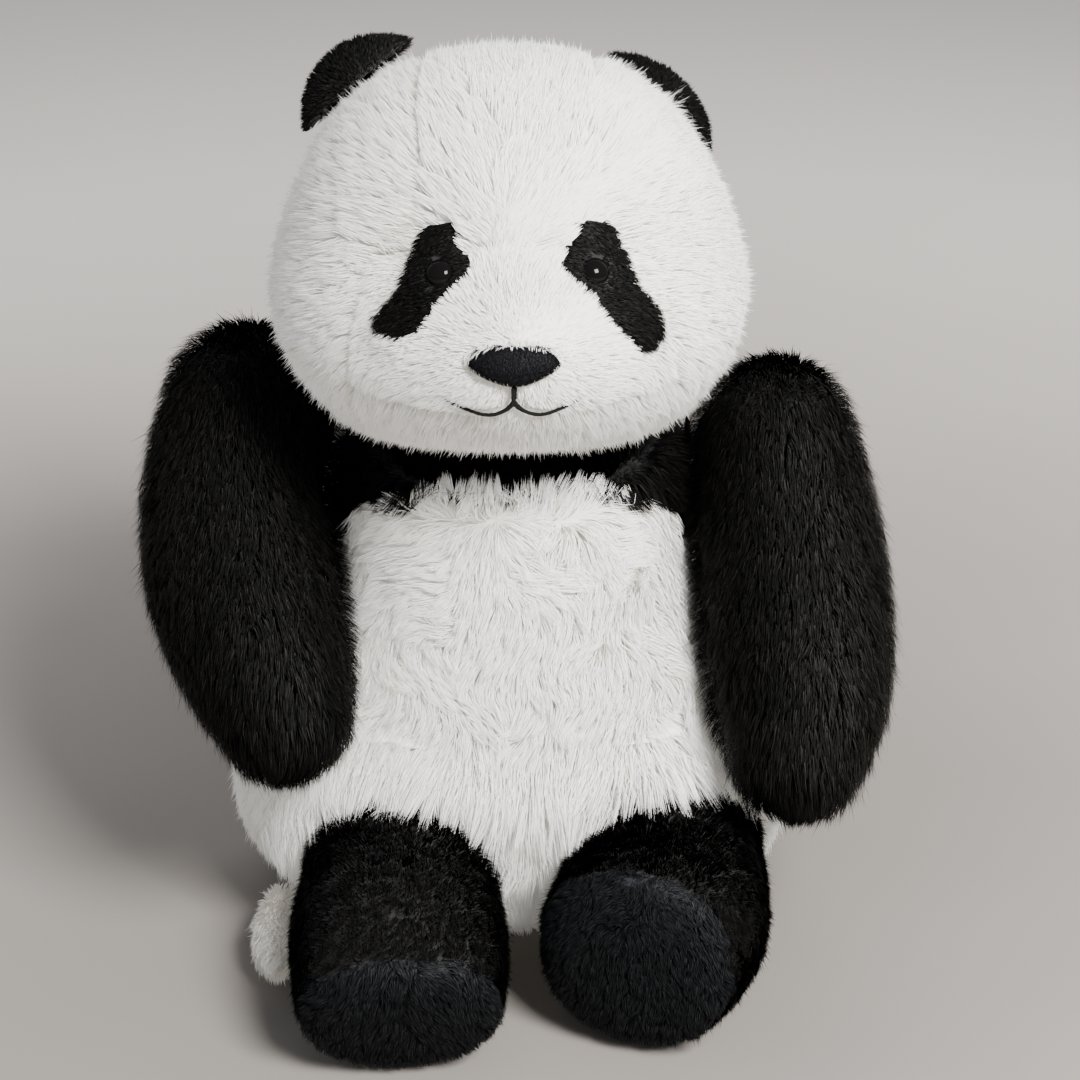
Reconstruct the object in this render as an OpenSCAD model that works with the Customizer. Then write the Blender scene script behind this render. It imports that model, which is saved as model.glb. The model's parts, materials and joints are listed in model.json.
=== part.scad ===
// Plush panda, sitting, with sewn-on limbs and a stuffed, weighted body.
// Millimetres. +Z is up, the toy faces -Y, and its own left side is +X.
// The origin is on the floor under the middle of the toy's box.

/* [Head] */
// Half width of the head at the cheeks
head_hx = 112; // [106:1:116]
// Half depth of the head, front to back
head_hy = 98; // [92:1:104]
// Half height of the head
head_hz = 100; // [94:1:104]
// How far the muzzle stands out of the face
muzzle_out = 27; // [18:1:32]
// Radius of an ear
ear_r = 39; // [30:1:40]
// Radius of the dome of an eye
eye_r = 7; // [5:0.5:9]

/* [Torso] */
// Half width of the seat at its widest
seat_hx = 148; // [138:1:152]
// Half width of the chest between the arms
chest_hx = 86; // [80:1:87]
// Height of the shoulders above the floor
shoulder_z = 287; // [278:1:290]

/* [Limbs] */
// Radius of the ball-shaped top of an arm
arm_ball = 43; // [38:1:44]
// Radius of the ball-shaped root of a leg
leg_ball = 44; // [40:1:45]

/* [Fabric] */
// Thickness of a fur panel, backing and matted pile together
skin = 4; // [3:0.5:5]
// Gap between a panel and its neighbour, or the stuffing under it
gap = 1; // [0.8:0.1:1.4]

/* [Hidden] */

white_fur = [0.93, 0.92, 0.9];
black_fur = [0.06, 0.06, 0.065];
fill_col = [0.95, 0.95, 0.93];
thread = [0.08, 0.08, 0.08];

// ---------- maths ----------
function sstep(a, b, x) = let (t = min(1, max(0, (x - a) / (b - a)))) t * t * (3 - 2 * t);
function bump(x, s) = exp(-x * x / (2 * s * s));
function unit(v) = v / norm(v);
// Catmull-Rom through a table of equal-length rows, t from 0 to len - 1
function row_at(tb, t) =
  let (n = len(tb), i = max(0, min(n - 2, floor(t))), f = t - i,
       p1 = tb[i], p2 = tb[i + 1],
       p0 = i > 0 ? tb[i - 1] : 2 * p1 - p2, p3 = i < n - 2 ? tb[i + 2] : 2 * p2 - p1)
  p1 + 0.5 * f * (p2 - p0 + f * (2 * p0 - 5 * p1 + 4 * p2 - p3 + f * (3 * (p1 - p2) + p3 - p0)));

// ---------- solids from grids of points ----------
// A grid g[i][j] and the same grid further in make one closed panel. pa, pb: the first or last row is one point.
module panel(outer, inner, pa = false, pb = false) {
  na = len(outer) - 1;
  nb = len(outer[0]) - 1;
  n = (na + 1) * (nb + 1);
  function v(i, j) = (i == 0 && pa) ? 0 : (i == na && pb) ? na * (nb + 1) : i * (nb + 1) + j;
  function ok(f) = f[0] != f[1] && f[1] != f[2] && f[0] != f[2];
  tris = [for (i = [0:na - 1], j = [0:nb - 1])
    for (f = [[v(i, j), v(i + 1, j), v(i + 1, j + 1)], [v(i, j), v(i + 1, j + 1), v(i, j + 1)]])
      if (ok(f)) f];
  sides = concat(
    [for (i = [0:na - 1]) for (f = [[v(i, 0), v(i, 0) + n, v(i + 1, 0) + n], [v(i, 0), v(i + 1, 0) + n, v(i + 1, 0)]]) f],
    [for (i = [0:na - 1]) for (f = [[v(i, nb), v(i + 1, nb) + n, v(i, nb) + n], [v(i, nb), v(i + 1, nb), v(i + 1, nb) + n]]) f],
    pa ? [] : [for (j = [0:nb - 1]) for (f = [[v(0, j), v(0, j + 1) + n, v(0, j) + n], [v(0, j), v(0, j + 1), v(0, j + 1) + n]]) f],
    pb ? [] : [for (j = [0:nb - 1]) for (f = [[v(na, j), v(na, j) + n, v(na, j + 1) + n], [v(na, j), v(na, j + 1) + n, v(na, j + 1)]]) f]);
  polyhedron(points = concat([for (r = outer) each r], [for (r = inner) each r]),
    faces = concat(tris, [for (f = tris) [f[0], f[2], f[1]] + [n, n, n]], sides), convexity = 6);
}

// A closed body from rings g[i][j] that go all the way round, with a point at each end.
module body_of(g, p0, p1) {
  na = len(g) - 1;
  nb = len(g[0]);
  s = (na + 1) * nb;
  function v(i, j) = i * nb + (j % nb);
  polyhedron(points = concat([for (r = g) each r], [p0, p1]),
    faces = concat(
      [for (i = [0:na - 1], j = [0:nb - 1]) for (f = [[v(i, j), v(i + 1, j + 1), v(i + 1, j)], [v(i, j), v(i, j + 1), v(i + 1, j + 1)]]) f],
      [for (j = [0:nb - 1]) [s, v(0, j + 1), v(0, j)]],
      [for (j = [0:nb - 1]) [s + 1, v(na, j), v(na, j + 1)]]), convexity = 6);
}

// Keeps the result as one mesh of flat faces
module meshed() resize([0, 0, 0]) children();

// ---------- head ----------
head_c = [-1, -10, 350];
head_pitch = 15;    // face tipped up
head_yaw = 1;      // face turned a little to the toy's left
neck_z = -84;      // the neck opening is flat here, from the head's centre

// a: 0 at the front, 90 at the top; b: -90 to 90 from the toy's right to its left
function head_dir(a, b) = [sin(b), -cos(b) * cos(a), cos(b) * sin(a)];
function head_r(a, b) =
  let (d = head_dir(a, b),
       e = pow(pow(abs(d[0]) / head_hx, 2.25) + pow(abs(d[1]) / head_hy, 2.25) + pow(abs(d[2]) / head_hz, 2.25), -1 / 2.25),
       al = a > 180 ? a - 360 : a)
  e + muzzle_out * bump(al + 24, 19) * bump(b, 25)
    + 7 * bump(al + 34, 24) * (bump(b - 47, 22) + bump(b + 47, 22))
    + 5 * bump(al - 45, 24) * bump(b, 34)
    - 7 * bump(al - 1, 7) * bump(b, 26)
    - 3.5 * bump(al, 17) * (bump(b - 27, 12) + bump(b + 27, 12))
    - 8 * bump(al + 64, 15) * bump(b, 34)
    - 7 * bump(al - 85, 50) * (bump(b - 62, 16) + bump(b + 62, 16));
function head_pt(a, b, d = 0) = let (p = head_dir(a, b) * (head_r(a, b) - d)) [p[0], p[1], max(p[2], neck_z + d)];
function head_edge(a) = 22 + 15 * (1 - sstep(2, 14, a)) - 6 * sstep(120, 200, a);
module head_place() translate(head_c) rotate([-head_pitch, 0, head_yaw]) children();

// The angles at which the panels' edges are drawn, so that neighbours follow each other
chin_a = [-79, -67, -55, -43, -31];
muzzle_a = [-31, -27, -23, -19, -15, -11, -7, -3, 1, 5];
brow_a = [5, 8, 11, 14, 19, 25, 33, 42, 51, 60, 69, 78, 87, 96];
back_a = [96, 106, 116, 126, 136, 146, 156, 166, 177, 188, 199, 210, 222, 234, 246, 257, 268, 279];
function trimmed(l, lo, hi) = [for (i = [0:len(l) - 1]) l[i] + (i == 0 ? lo : i == len(l) - 1 ? -hi : 0)];
function tail_of(l) = [for (i = [1:len(l) - 1]) l[i]];
ge = 0.4; // half the gap between two panels, in degrees

// A middle panel: rows of angles, from one edge across to the other
module head_middle(l, nb) {
  g = [for (d = [0, skin]) [for (j = [0:nb]) [for (a = l) head_pt(a, (head_edge(a) - ge) * (1 - 2 * j / nb), d)]]];
  head_place() panel(g[0], g[1]);
}
module head_gusset() color(white_fur) head_middle(trimmed(concat(brow_a, tail_of(back_a)), ge, 0), 6);
module muzzle_panel() color(white_fur) meshed() difference() {
  head_middle(trimmed(muzzle_a, ge, ge), 14);
  for (s = [-1, 1]) eye_hole(s);
}
module chin_panel() color(white_fur) head_middle(trimmed(chin_a, 0, ge), 8);

// A side panel: rows from the pole at the side inwards
module head_side(s, l, nb) {
  ll = s > 0 ? l : [for (i = [len(l) - 1:-1:0]) l[i]];
  g = [for (d = [0, skin]) [for (j = [0:nb]) [for (a = ll) head_pt(a, s * (90 + (head_edge(a) + ge - 90) * j / nb), d)]]];
  head_place() panel(g[0], g[1], true, false);
}
module face_side(s) color(white_fur) head_side(s, trimmed(concat(chin_a, tail_of(muzzle_a), tail_of(brow_a)), 0, 2 * ge), 7);
module head_back(s) color(white_fur) head_side(s, trimmed(back_a, 2 * ge, 0), 7);

module head_core(d) {
  na = 30;
  nb = 14;
  g = [for (j = [1:nb - 1]) [for (i = [0:na - 1]) head_pt(i * 360 / na - 80, -90 + 180 * j / nb, d)]];
  head_place() body_of(g, head_pt(0, -90, d), head_pt(0, 90, d));
}

// Where an eye sits: its spot on the face and the way it looks
eye_a = -0.3;
eye_b = 19.3;
eye_side = 1.4;  // both eyes sit this far towards the toy's left
function eye_spot(s) = head_pt(eye_a, s * eye_b + eye_side, 0);
function eye_out(s) = let (b = s * eye_b + eye_side) unit(cross(head_pt(eye_a, b + 4) - head_pt(eye_a, b - 4), head_pt(eye_a + 4, b) - head_pt(eye_a - 4, b)));
module eye_on(s) let (n = eye_out(s)) translate(eye_spot(s)) rotate([0, acos(n[2]), atan2(n[1], n[0])]) children();
module eye_place(s) head_place() eye_on(s) children();
module eye(s) color([0.02, 0.02, 0.02]) eye_place(s) {
  // the dome stands on the patch, and the post goes through patch and panel
  rotate_extrude($fn = 48) polygon(concat([[0, -9]], [[1.8, -9], [1.8, 3]],
    [for (t = [0:9:81]) [eye_r * cos(t), 4 + 0.72 * eye_r * sin(t)]], [[0, 4 + 0.72 * eye_r]]));
}
module eye_washer(s) color([0.85, 0.85, 0.82]) eye_place(s) translate([0, 0, -8.6])
  rotate_extrude($fn = 48) polygon([[1.8, 0], [9, 0], [9, 1.2], [4, 2.2], [1.8, 2.2]]);

module eye_hole(s, r = 2.3) eye_place(s) translate([0, 0, -14]) cylinder(r = r, h = 30, $fn = 24);
// The eye patch: [outwards, up] in mm from the eye, all the way round
patch_mid = [5, -8];
patch_line = [[16, 8], [11, 19], [3, 24], [-6, 23], [-9, 14], [-15, 8], [-15, 0], [-4, -11], [4, -26], [12, -38], [20, -44], [30, -34], [28, -20], [21, -8]];
function patch_pt(s, t, f, h) = // t from 0 to 40 round the patch, f from its middle to its edge
  let (m = len(patch_line), tt = t * m / 28, w = concat([patch_line[m - 1]], patch_line, [patch_line[0], patch_line[1]]),
       o = patch_mid + f * (row_at(w, 1 + tt % m) - patch_mid))
  head_pt(eye_a + 0.455 * o[1], s * (eye_b + 0.475 * o[0]) + eye_side, -h);
function patch_ring(s, f, h) = [for (i = [0:27]) patch_pt(s, s > 0 ? i : 28 - i, f, h)];
module eye_patch(s) color(black_fur) {
  head_place() meshed() difference() {
    body_of([for (f = [0.25:0.25:1]) patch_ring(s, f, 2.1), for (f = [1:-0.25:0.25]) patch_ring(s, f, 0.5)],
      patch_pt(s, 0, 0, 2.1), patch_pt(s, 0, 0, 0.5));
    eye_on(s) translate([0, 0, -14]) cylinder(r = 2.3, h = 40, $fn = 24);
  }
}

// Nose: a soft rounded triangle of velour on the tip of the muzzle
nose_a = -18.6;
function nose_pt(t, f, h) =
  let (c = cos(t), s = sin(t), k = 1 / pow(pow(abs(c), 2.6) + pow(abs(s), 2.6), 1 / 2.6),
       u = 9.2 * c * k * (1 - 0.45 * sstep(0, 1, -s * k)) * f, w = (3.6 * s * k + 0.4) * f)
  head_pt(nose_a + w, u, -h);
function nose_ring(f, h) = [for (i = [0:35]) nose_pt(i * 10, f, h)];
module nose_pad() color([0.03, 0.03, 0.035]) head_place()
  body_of([nose_ring(0.3, 4.6), nose_ring(0.6, 4.2), nose_ring(0.85, 3.2), nose_ring(1, 1.6), nose_ring(0.98, 0.4), nose_ring(0.5, 0.4)],
    nose_pt(0, 0, 4.7), nose_pt(0, 0, 0.4));

// Mouth: a cord of thread down from the nose and out to each side
mouth_line = [[-23.2, 0], [-24.6, 0], [-26, 0], [-27.6, 1.4], [-28.8, 3.4], [-29.4, 6], [-29.2, 9], [-28.4, 12], [-27, 14.6]];
module thread_along(pts, r, n = 6) {
  m = len(pts) - 1;
  function tan(i) = unit(pts[min(m, i + 1)] - pts[max(0, i - 1)]);
  g = [for (i = [0:m]) let (t = tan(i), u = unit(cross(t, [0.1, 1, 0.2])), w = cross(t, u))
    [for (j = [0:n - 1]) pts[i] + r * (u * cos(-j * 360 / n) + w * sin(-j * 360 / n))]];
  body_of(g, pts[0] - tan(0) * 0.2, pts[m] + tan(m) * 0.2);
}
module mouth_stitch() color(thread) head_place() {
  pts = [for (t = [0:0.5:len(mouth_line) - 1]) row_at(mouth_line, t)];
  meshed() union() for (s = [-1, 1]) thread_along([for (p = pts) head_pt(p[0], s * (p[1] + 0.1), -1.6)], 1.0);
}

// ---------- ears ----------
// each: [angle round from the front, sideways angle, how far out its middle is, lean back]
ear_l = [108, 43, 96, 40];
ear_rt = [100, 40, 93, 4];
module ear_place(s) {
  e = s > 0 ? ear_l : ear_rt;
  head_place() translate(head_dir(e[0], s * e[1]) * e[2]) rotate([0, s * 44, 0]) rotate([-e[3], 0, s * -6]) children();
}
function ear_pt(t, f, h) = // t round the rim, f from the middle out, h the face: 1 front, -1 back
  let (x = ear_r * f * cos(t), z = ear_r * f * sin(t))
  [x, -h * 7 * sqrt(max(0, 1 - f * f)) - h * 0.5 + 4 * f * f - 2, z];
// Each half is cut flat where it is sewn to the head
module ear_half(s, h) color(black_fur) meshed() difference() {
  e = s > 0 ? ear_l : ear_rt;
  d = head_dir(e[0], s * e[1]);
  ear_place(s) body_of([for (f = [0.25, 0.5, 0.75, 0.92, 1]) [for (i = [0:29]) ear_pt(h * i * 12, f, h)],
      for (f = [1, 0.66, 0.33]) [for (i = [0:29]) ear_pt(h * i * 12, f, h * 0.15)]],
      ear_pt(0, 0, h), ear_pt(0, 0, h * 0.15));
  head_place() rotate([0, acos(d[2]), atan2(d[1], d[0])]) translate([0, 0, head_r(e[0], s * e[1]) + 2.6 - 60]) cube(120, center = true);
}

// ---------- torso ----------
// [z, middle y, half width, front half depth, back half depth]
torso_rows = [[0, 12, 98, 58, 64], [10, 11, 122, 74, 84], [34, 9, 140, 83, 95], [66, 8, seat_hx, 89, 100], [98, 9, 137, 98, 100],
  [130, 11, 114, 91, 95], [162, 15, 96, 85, 87], [192, 19, chest_hx + 1, 79, 79], [220, 23, chest_hx, 74, 73],
  [244, 27, chest_hx - 3, 67, 66], [264, 30, 71, 56, 55], [279, 33, 47, 39, 39], [shoulder_z, 35, 10, 9, 9]];
function torso_at(z) = let (n = len(torso_rows),
    i = max([for (k = [0:n - 2]) if (torso_rows[k][0] <= z || k == 0) k]),
    f = (z - torso_rows[i][0]) / (torso_rows[i + 1][0] - torso_rows[i][0])) row_at(torso_rows, i + min(1, max(0, f)));
// q: degrees round from the front towards +X
function torso_pt(q, z, d = 0) =
  let (zz = max(z, 0), r = torso_at(zz), c = cos(q), s = sin(q), n = 2.25,
       hy = (c > 0 ? r[3] : r[4]), k = 1 / pow(pow(abs(s), n) + pow(abs(c), n), 1 / n))
  [(r[2] - d) * s * k, r[1] - (hy - d) * c * k, zz];
// The line where the white of the lower body meets the black of the shoulders
function white_top(q) = let (a = abs(q)) 240 - 9 * sstep(10, 50, a) - 42 * sstep(50, 100, a);
belly_foot = 62;
z_low = 4.5;

module torso_panel(q0, q1, nq, zf0, zf1, nz) {
  g = [for (d = [0, skin]) [for (i = [0:nq]) [for (j = [0:nz])
    let (q = q1 + (q0 - q1) * i / nq, z = zf0(q) + (zf1(q) - zf0(q)) * pow(j / nz, 1.35)) torso_pt(q, z, d)]]];
  panel(g[0], g[1]);
}
// What the legs, arms and head need left open in the torso
module torso_cuts() {
  for (s = [-1, 1], t = [[0, 0], [10, 5], [20, 0], [20, 10], [0, 10]])
    translate(leg_pivot(s)) rotate([-t[0], 0, s * t[1]]) translate(-leg_pivot(s)) limb_core(leg_rows(s), leg_ball, 0, -1.4, 16, 1);
  neck_bowl(0);
}
module neck_bowl(c) translate(head_c) scale([head_hx + 9.5 + c, head_hy + 13 + c, head_hz + 8.5 + c]) sphere(r = 1, $fn = 40);
// The stuffing keeps further back from the legs
module stuffing_cuts() {
  neck_bowl(skin + gap);
  for (s = [-1, 1]) translate(leg_pivot(s)) {
    sphere(r = leg_ball + 8, $fn = 24);
    for (t = [0, 26]) rotate([90 - t, 0, s * 5]) cylinder(r1 = leg_ball + 9, r2 = leg_ball + 18, h = 70, $fn = 20);
  }
}
qg = 0.35;
module belly_panel() color(white_fur) meshed() difference() {
  torso_panel(-52 + qg, 52 - qg, 14, function (q) belly_foot + 0.6, function (q) white_top(q) - 0.6, 12);
  torso_cuts();
}
module crotch_panel() color(white_fur) meshed() difference() {
  torso_panel(-52 + qg, 52 - qg, 14, function (q) z_low, function (q) belly_foot - 0.6, 4);
  torso_cuts();
}
module hip_panel(s) color(white_fur) meshed() difference() {
  torso_panel(s > 0 ? 52 + qg : -112 + qg, s > 0 ? 112 - qg : -52 - qg, 8, function (q) z_low, function (q) white_top(q) - 0.6, 12);
  torso_cuts();
}
module lower_back(s) color(white_fur)
  torso_panel(s > 0 ? 112 + qg : 180 + qg, s > 0 ? 180 - qg : 248 - qg, 8, function (q) z_low, function (q) white_top(q < 180 ? q : 360 - q) - 0.6, 12);
module chest_yoke() color(black_fur) meshed() difference() {
  torso_panel(-90 + qg, 90 - qg, 20, function (q) white_top(q) + 0.6, function (q) 283, 8);
  torso_cuts();
}
module upper_back(s) color(black_fur) meshed() difference() {
  torso_panel(s > 0 ? 90 + qg : 180 + qg, s > 0 ? 180 - qg : 270 - qg, 10, function (q) white_top(q < 180 ? q : 360 - q) + 0.6, function (q) 283, 8);
  torso_cuts();
}
module seat_base() color(white_fur) {
  // flat underneath, an oval of fur fabric
  linear_extrude(3.6) polygon([for (q = [0:7.5:352.5]) let (p = torso_pt(q, 0, 0)) [p[0], p[1]]]);
}
module torso_inside(d, zb) {
  zs = [zb, 15, 26, 44, 62, 84, 106, 128, 150, 172, 194, 214, 232, 248, 260, 268];
  g = [for (z = zs) [for (q = [0:10:350]) torso_pt(-q, z, d)]];
  body_of(g, [0, 10, zb], [0, 34, 270]);
}
bag_c = [0, 22, 34];
module bead_bag() color([0.8, 0.78, 0.72]) {
  g = [for (t = [-72:18:72]) [for (q = [0:20:340]) bag_c + [78 * cos(t) * cos(-q), 48 * cos(t) * sin(-q), 22 * sin(t)]]];
  body_of(g, bag_c - [0, 0, 22.6], bag_c + [0, 0, 22.6]);
}
module torso_stuffing() color(fill_col) meshed() difference() {
  torso_inside(skin + gap + 0.8, 9);
  stuffing_cuts();
  translate(bag_c) scale([78.9 / 78, 48.9 / 48, 22.9 / 22]) translate(-bag_c) bead_bag();
  translate([bag_c[0], bag_c[1], 0]) scale([78.9, 48.9, 1]) cylinder(r = 1, h = bag_c[2], $fn = 24);
}

// ---------- tubes for limbs ----------
// rows: [x, y, z, half width across, half depth]; the first is the ball's middle and is kept round.
// d insets every face. Returns [rings, start point, end point].
function limb_dir(rows, i) = let (n = len(rows) - 1, a = rows[max(0, i - 1)], b = rows[min(n, i + 1)]) unit([b[0] - a[0], b[1] - a[1], b[2] - a[2]]);
function ring(c, t, ru, rv, q0, q1, nq, e = 2) =
  let (u = unit([1, 0, 0] - t[0] * t), w = cross(t, u))
  [for (j = [0:nq]) let (q = q0 + (q1 - q0) * j / nq, k = 1 / pow(pow(abs(cos(q)), e) + pow(abs(sin(q)), e), 1 / e)) c + u * ru * k * cos(q) + w * rv * k * sin(q)];
function limb(rows, ball, cap, d, q0, q1, nq, sub = 3) =
  let (n = len(rows) - 1, t0 = limb_dir(rows, 0), p0 = [rows[0][0], rows[0][1], rows[0][2]], tn = limb_dir(rows, n),
       pn = [rows[n][0], rows[n][1], rows[n][2]],
       head = [for (f = [66, 44, 22, 0]) ring(p0 - t0 * (ball - d) * sin(f), t0, (ball - d) * cos(f), (ball - d) * cos(f), q0, q1, nq)],
       mid = [for (k = [1:n * sub]) let (s = k / sub, r = row_at(rows, s), i = floor(s), f = s - i,
                t = unit(limb_dir(rows, min(n, i)) * (1 - f) + limb_dir(rows, min(n, i + 1)) * f))
              ring([r[0], r[1], r[2]], t, r[3] - d, r[4] - d, q0, q1, nq, 2 + 0.25 * sstep(0, 1, s))],
       tail = cap > 0 ? [for (f = [28, 52, 72]) ring(pn + tn * (cap - d) * sin(f), tn, (rows[n][3] - d) * cos(f), (rows[n][4] - d) * cos(f), q0, q1, nq, 2.25)] : [])
  [concat(head, mid, tail), p0 - t0 * (ball - d), cap > 0 ? pn + tn * (cap - d) : pn - tn * d];
function pole_row(p, nq) = [for (j = [0:nq]) p];
module limb_panel(rows, ball, cap, q0, q1, nq, sub = 2, thick = skin) {
  o = limb(rows, ball, cap, 0, q0, q1, nq, sub);
  i = limb(rows, ball, cap, thick, q0, q1, nq, sub);
  closed = cap > 0;
  panel(concat([pole_row(o[1], nq)], o[0], closed ? [pole_row(o[2], nq)] : []),
        concat([pole_row(i[1], nq)], i[0], closed ? [pole_row(i[2], nq)] : []), true, closed);
}
module limb_core(rows, ball, cap, d, nq, sub = 3) {
  c = limb(rows, ball, cap, d, 0, 360, nq, sub);
  body_of([for (r = c[0]) [for (j = [0:nq - 1]) r[nq - 1 - j]]], c[1], c[2]);
}

// ---------- arms ----------
arm_l = [[134, 28, 245, arm_ball, arm_ball], [139, 2, 208, 47, 44], [142, -37, 170, 48, 42], [142, -70, 139, 42, 38], [137, -92, 119, 32, 30]];
arm_rt = [[-134, 28, 264, arm_ball, arm_ball], [-139, -2, 228, 46, 44], [-132, -42, 193, 47, 42], [-118, -75, 165, 41, 38], [-106, -96, 144, 31, 30]];
function arm_rows(s) = s > 0 ? arm_l : arm_rt;
function arm_pivot(s) = let (r = arm_rows(s)[0]) [r[0], r[1], r[2]];
arm_cap = 22;
sg = 0.8;
module arm_front(s) color(black_fur) limb_panel(arm_rows(s), arm_ball, arm_cap, sg, 180 - sg, 10);
module arm_back(s) color(black_fur) limb_panel(arm_rows(s), arm_ball, arm_cap, 180 + sg, 360 - sg, 10);
module arm_stuffing(s) color(fill_col) limb_core(arm_rows(s), arm_ball, arm_cap, skin + gap, 16, 2);
module shoulder_seam(s) color(thread) translate([s * 89.6, arm_pivot(s)[1], arm_pivot(s)[2]]) rotate([0, 90, 0])
  rotate_extrude($fn = 64) translate([10, 0]) circle(r = 0.9, $fn = 20);

// ---------- legs ----------
leg_l = [[83, -62, 51, leg_ball, leg_ball], [81, -86, 50, 47, 44], [74, -112, 50, 53, 46], [64, -134, 51, 53, 49], [58, -150, 52, 50, 48]];
leg_rt = [[-60, -66, 49, leg_ball, leg_ball], [-58, -92, 49, 49, 46], [-56, -124, 47, 54, 45], [-54, -152, 43, 53, 41], [-53, -172, 38, 50, 37]];
function leg_rows(s) = s > 0 ? leg_l : leg_rt;
function leg_pivot(s) = let (r = leg_rows(s)[0]) [r[0], r[1], r[2]];
function sole_cap(s) = 13;
module leg_top(s) color(black_fur) limb_panel(leg_rows(s), leg_ball, 0, sg, 180 - sg, 10);
module leg_under(s) color(black_fur) limb_panel(leg_rows(s), leg_ball, 0, 180 + sg, 360 - sg, 10);
module leg_stuffing(s) color(fill_col) limb_core(leg_rows(s), leg_ball, 0, skin + gap, 16, 2);
function sole_ring(s, f, h) = let (r = leg_rows(s), n = len(r) - 1, t = limb_dir(r, n), p = [r[n][0], r[n][1], r[n][2]])
  [for (j = [0:27]) ring(p + t * h, t, r[n][3] * f, r[n][4] * f, 0, 360, 28, 2.25)[27 - j]];
function sole_mid(s, h) = let (r = leg_rows(s), n = len(r) - 1) [r[n][0], r[n][1], r[n][2]] + limb_dir(r, n) * h;
module foot_sole(s) color([0.05, 0.05, 0.055])
  body_of([sole_ring(s, 1, 0.9), sole_ring(s, 0.97, 4.5), sole_ring(s, 0.86, 9), sole_ring(s, 0.66, 12), sole_ring(s, 0.35, 13.4)],
    sole_mid(s, 0.9), sole_mid(s, 13.8));
hip_ring = [26, 40]; // radius of the ring of stitches, and how far behind the ball's middle it lies
module hip_seam(s, r = 1) color(thread) translate(leg_pivot(s)) rotate([-90, 0, 0]) translate([0, 0, hip_ring[1]])
  rotate_extrude($fn = 64) translate([hip_ring[0], 0]) circle(r = r, $fn = 20);

// ---------- tail ----------
tail_rows = [[-120, -58, 20, 10, 10], [-121, -74, 19, 12, 12], [-120, -92, 18, 12, 12], [-118, -104, 17, 9, 10]];
module tail_upper() color(white_fur) limb_panel(tail_rows, 10, 7, 3, 177, 6, 1, 3);
module tail_under() color(white_fur) limb_panel(tail_rows, 10, 7, 183, 357, 6, 1, 3);
module tail_stuffing() color(fill_col) limb_core(tail_rows, 10, 7, 3.9, 14, 1);

// ---------- seams round the neck ----------
module neck_seam() color(thread) translate([head_c[0], head_c[1], 247.6])
  rotate_extrude($fn = 64) translate([26, 0]) circle(r = 1.8, $fn = 20);
module head_stuffing() color(fill_col) meshed() difference() {
  head_core(skin + gap + 1.4);
  for (s = [-1, 1]) eye_place(s) translate([0, 0, -16]) cylinder(r = 10, h = 30, $fn = 16);
}

torso_stuffing();
bead_bag();
seat_base();
belly_panel();
crotch_panel();
hip_panel(1);  // hip_panel_left
hip_panel(-1);  // hip_panel_right
lower_back(1);  // lower_back_left
lower_back(-1);  // lower_back_right
chest_yoke();
upper_back(1);  // upper_back_left
upper_back(-1);  // upper_back_right
neck_seam();
head_stuffing();
head_gusset();
muzzle_panel();
chin_panel();
face_side(1);  // face_side_left
face_side(-1);  // face_side_right
head_back(1);  // head_back_left
head_back(-1);  // head_back_right
eye_patch(1);  // eye_patch_left
eye_patch(-1);  // eye_patch_right
eye(1);  // eye_left
eye(-1);  // eye_right
eye_washer(1);  // eye_washer_left
eye_washer(-1);  // eye_washer_right
nose_pad();
mouth_stitch();
ear_half(1, 1);  // ear_front_left
ear_half(1, -1);  // ear_back_left
ear_half(-1, 1);  // ear_front_right
ear_half(-1, -1);  // ear_back_right
shoulder_seam(1);  // shoulder_seam_left
shoulder_seam(-1);  // shoulder_seam_right
arm_front(1);  // arm_front_left
arm_back(1);  // arm_back_left
arm_stuffing(1);  // arm_stuffing_left
arm_front(-1);  // arm_front_right
arm_back(-1);  // arm_back_right
arm_stuffing(-1);  // arm_stuffing_right
hip_seam(1);  // hip_seam_left
hip_seam(-1);  // hip_seam_right
leg_top(1);  // leg_top_left
leg_under(1);  // leg_under_left
foot_sole(1);  // foot_sole_left
leg_stuffing(1);  // leg_stuffing_left
leg_top(-1);  // leg_top_right
leg_under(-1);  // leg_under_right
foot_sole(-1);  // foot_sole_right
leg_stuffing(-1);  // leg_stuffing_right
tail_upper();
tail_under();
tail_stuffing();
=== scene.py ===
import json
import math

import bmesh
import bpy
import numpy as np
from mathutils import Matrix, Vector
from mathutils.bvhtree import BVHTree
from mathutils.kdtree import KDTree


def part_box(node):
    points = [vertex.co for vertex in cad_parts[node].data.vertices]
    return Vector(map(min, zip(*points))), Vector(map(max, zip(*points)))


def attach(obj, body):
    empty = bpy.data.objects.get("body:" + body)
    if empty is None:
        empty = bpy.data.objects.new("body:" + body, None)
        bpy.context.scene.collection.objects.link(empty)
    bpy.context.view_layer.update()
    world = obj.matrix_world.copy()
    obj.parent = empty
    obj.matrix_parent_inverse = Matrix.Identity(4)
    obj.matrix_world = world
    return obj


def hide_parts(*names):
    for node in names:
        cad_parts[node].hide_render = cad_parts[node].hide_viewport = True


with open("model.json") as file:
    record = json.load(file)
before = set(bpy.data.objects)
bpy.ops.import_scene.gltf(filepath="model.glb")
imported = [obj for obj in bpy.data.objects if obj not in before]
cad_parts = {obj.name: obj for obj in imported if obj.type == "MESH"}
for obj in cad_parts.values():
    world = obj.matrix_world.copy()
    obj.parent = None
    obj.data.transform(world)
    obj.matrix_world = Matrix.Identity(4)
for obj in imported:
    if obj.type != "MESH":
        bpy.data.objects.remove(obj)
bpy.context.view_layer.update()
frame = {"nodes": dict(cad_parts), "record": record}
NODES = frame["nodes"]
JOINTS = {j["name"]: j for j in frame["record"]["behaviour"]["joints"]}
DENSE = 1.0
mm = 0.001

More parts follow.
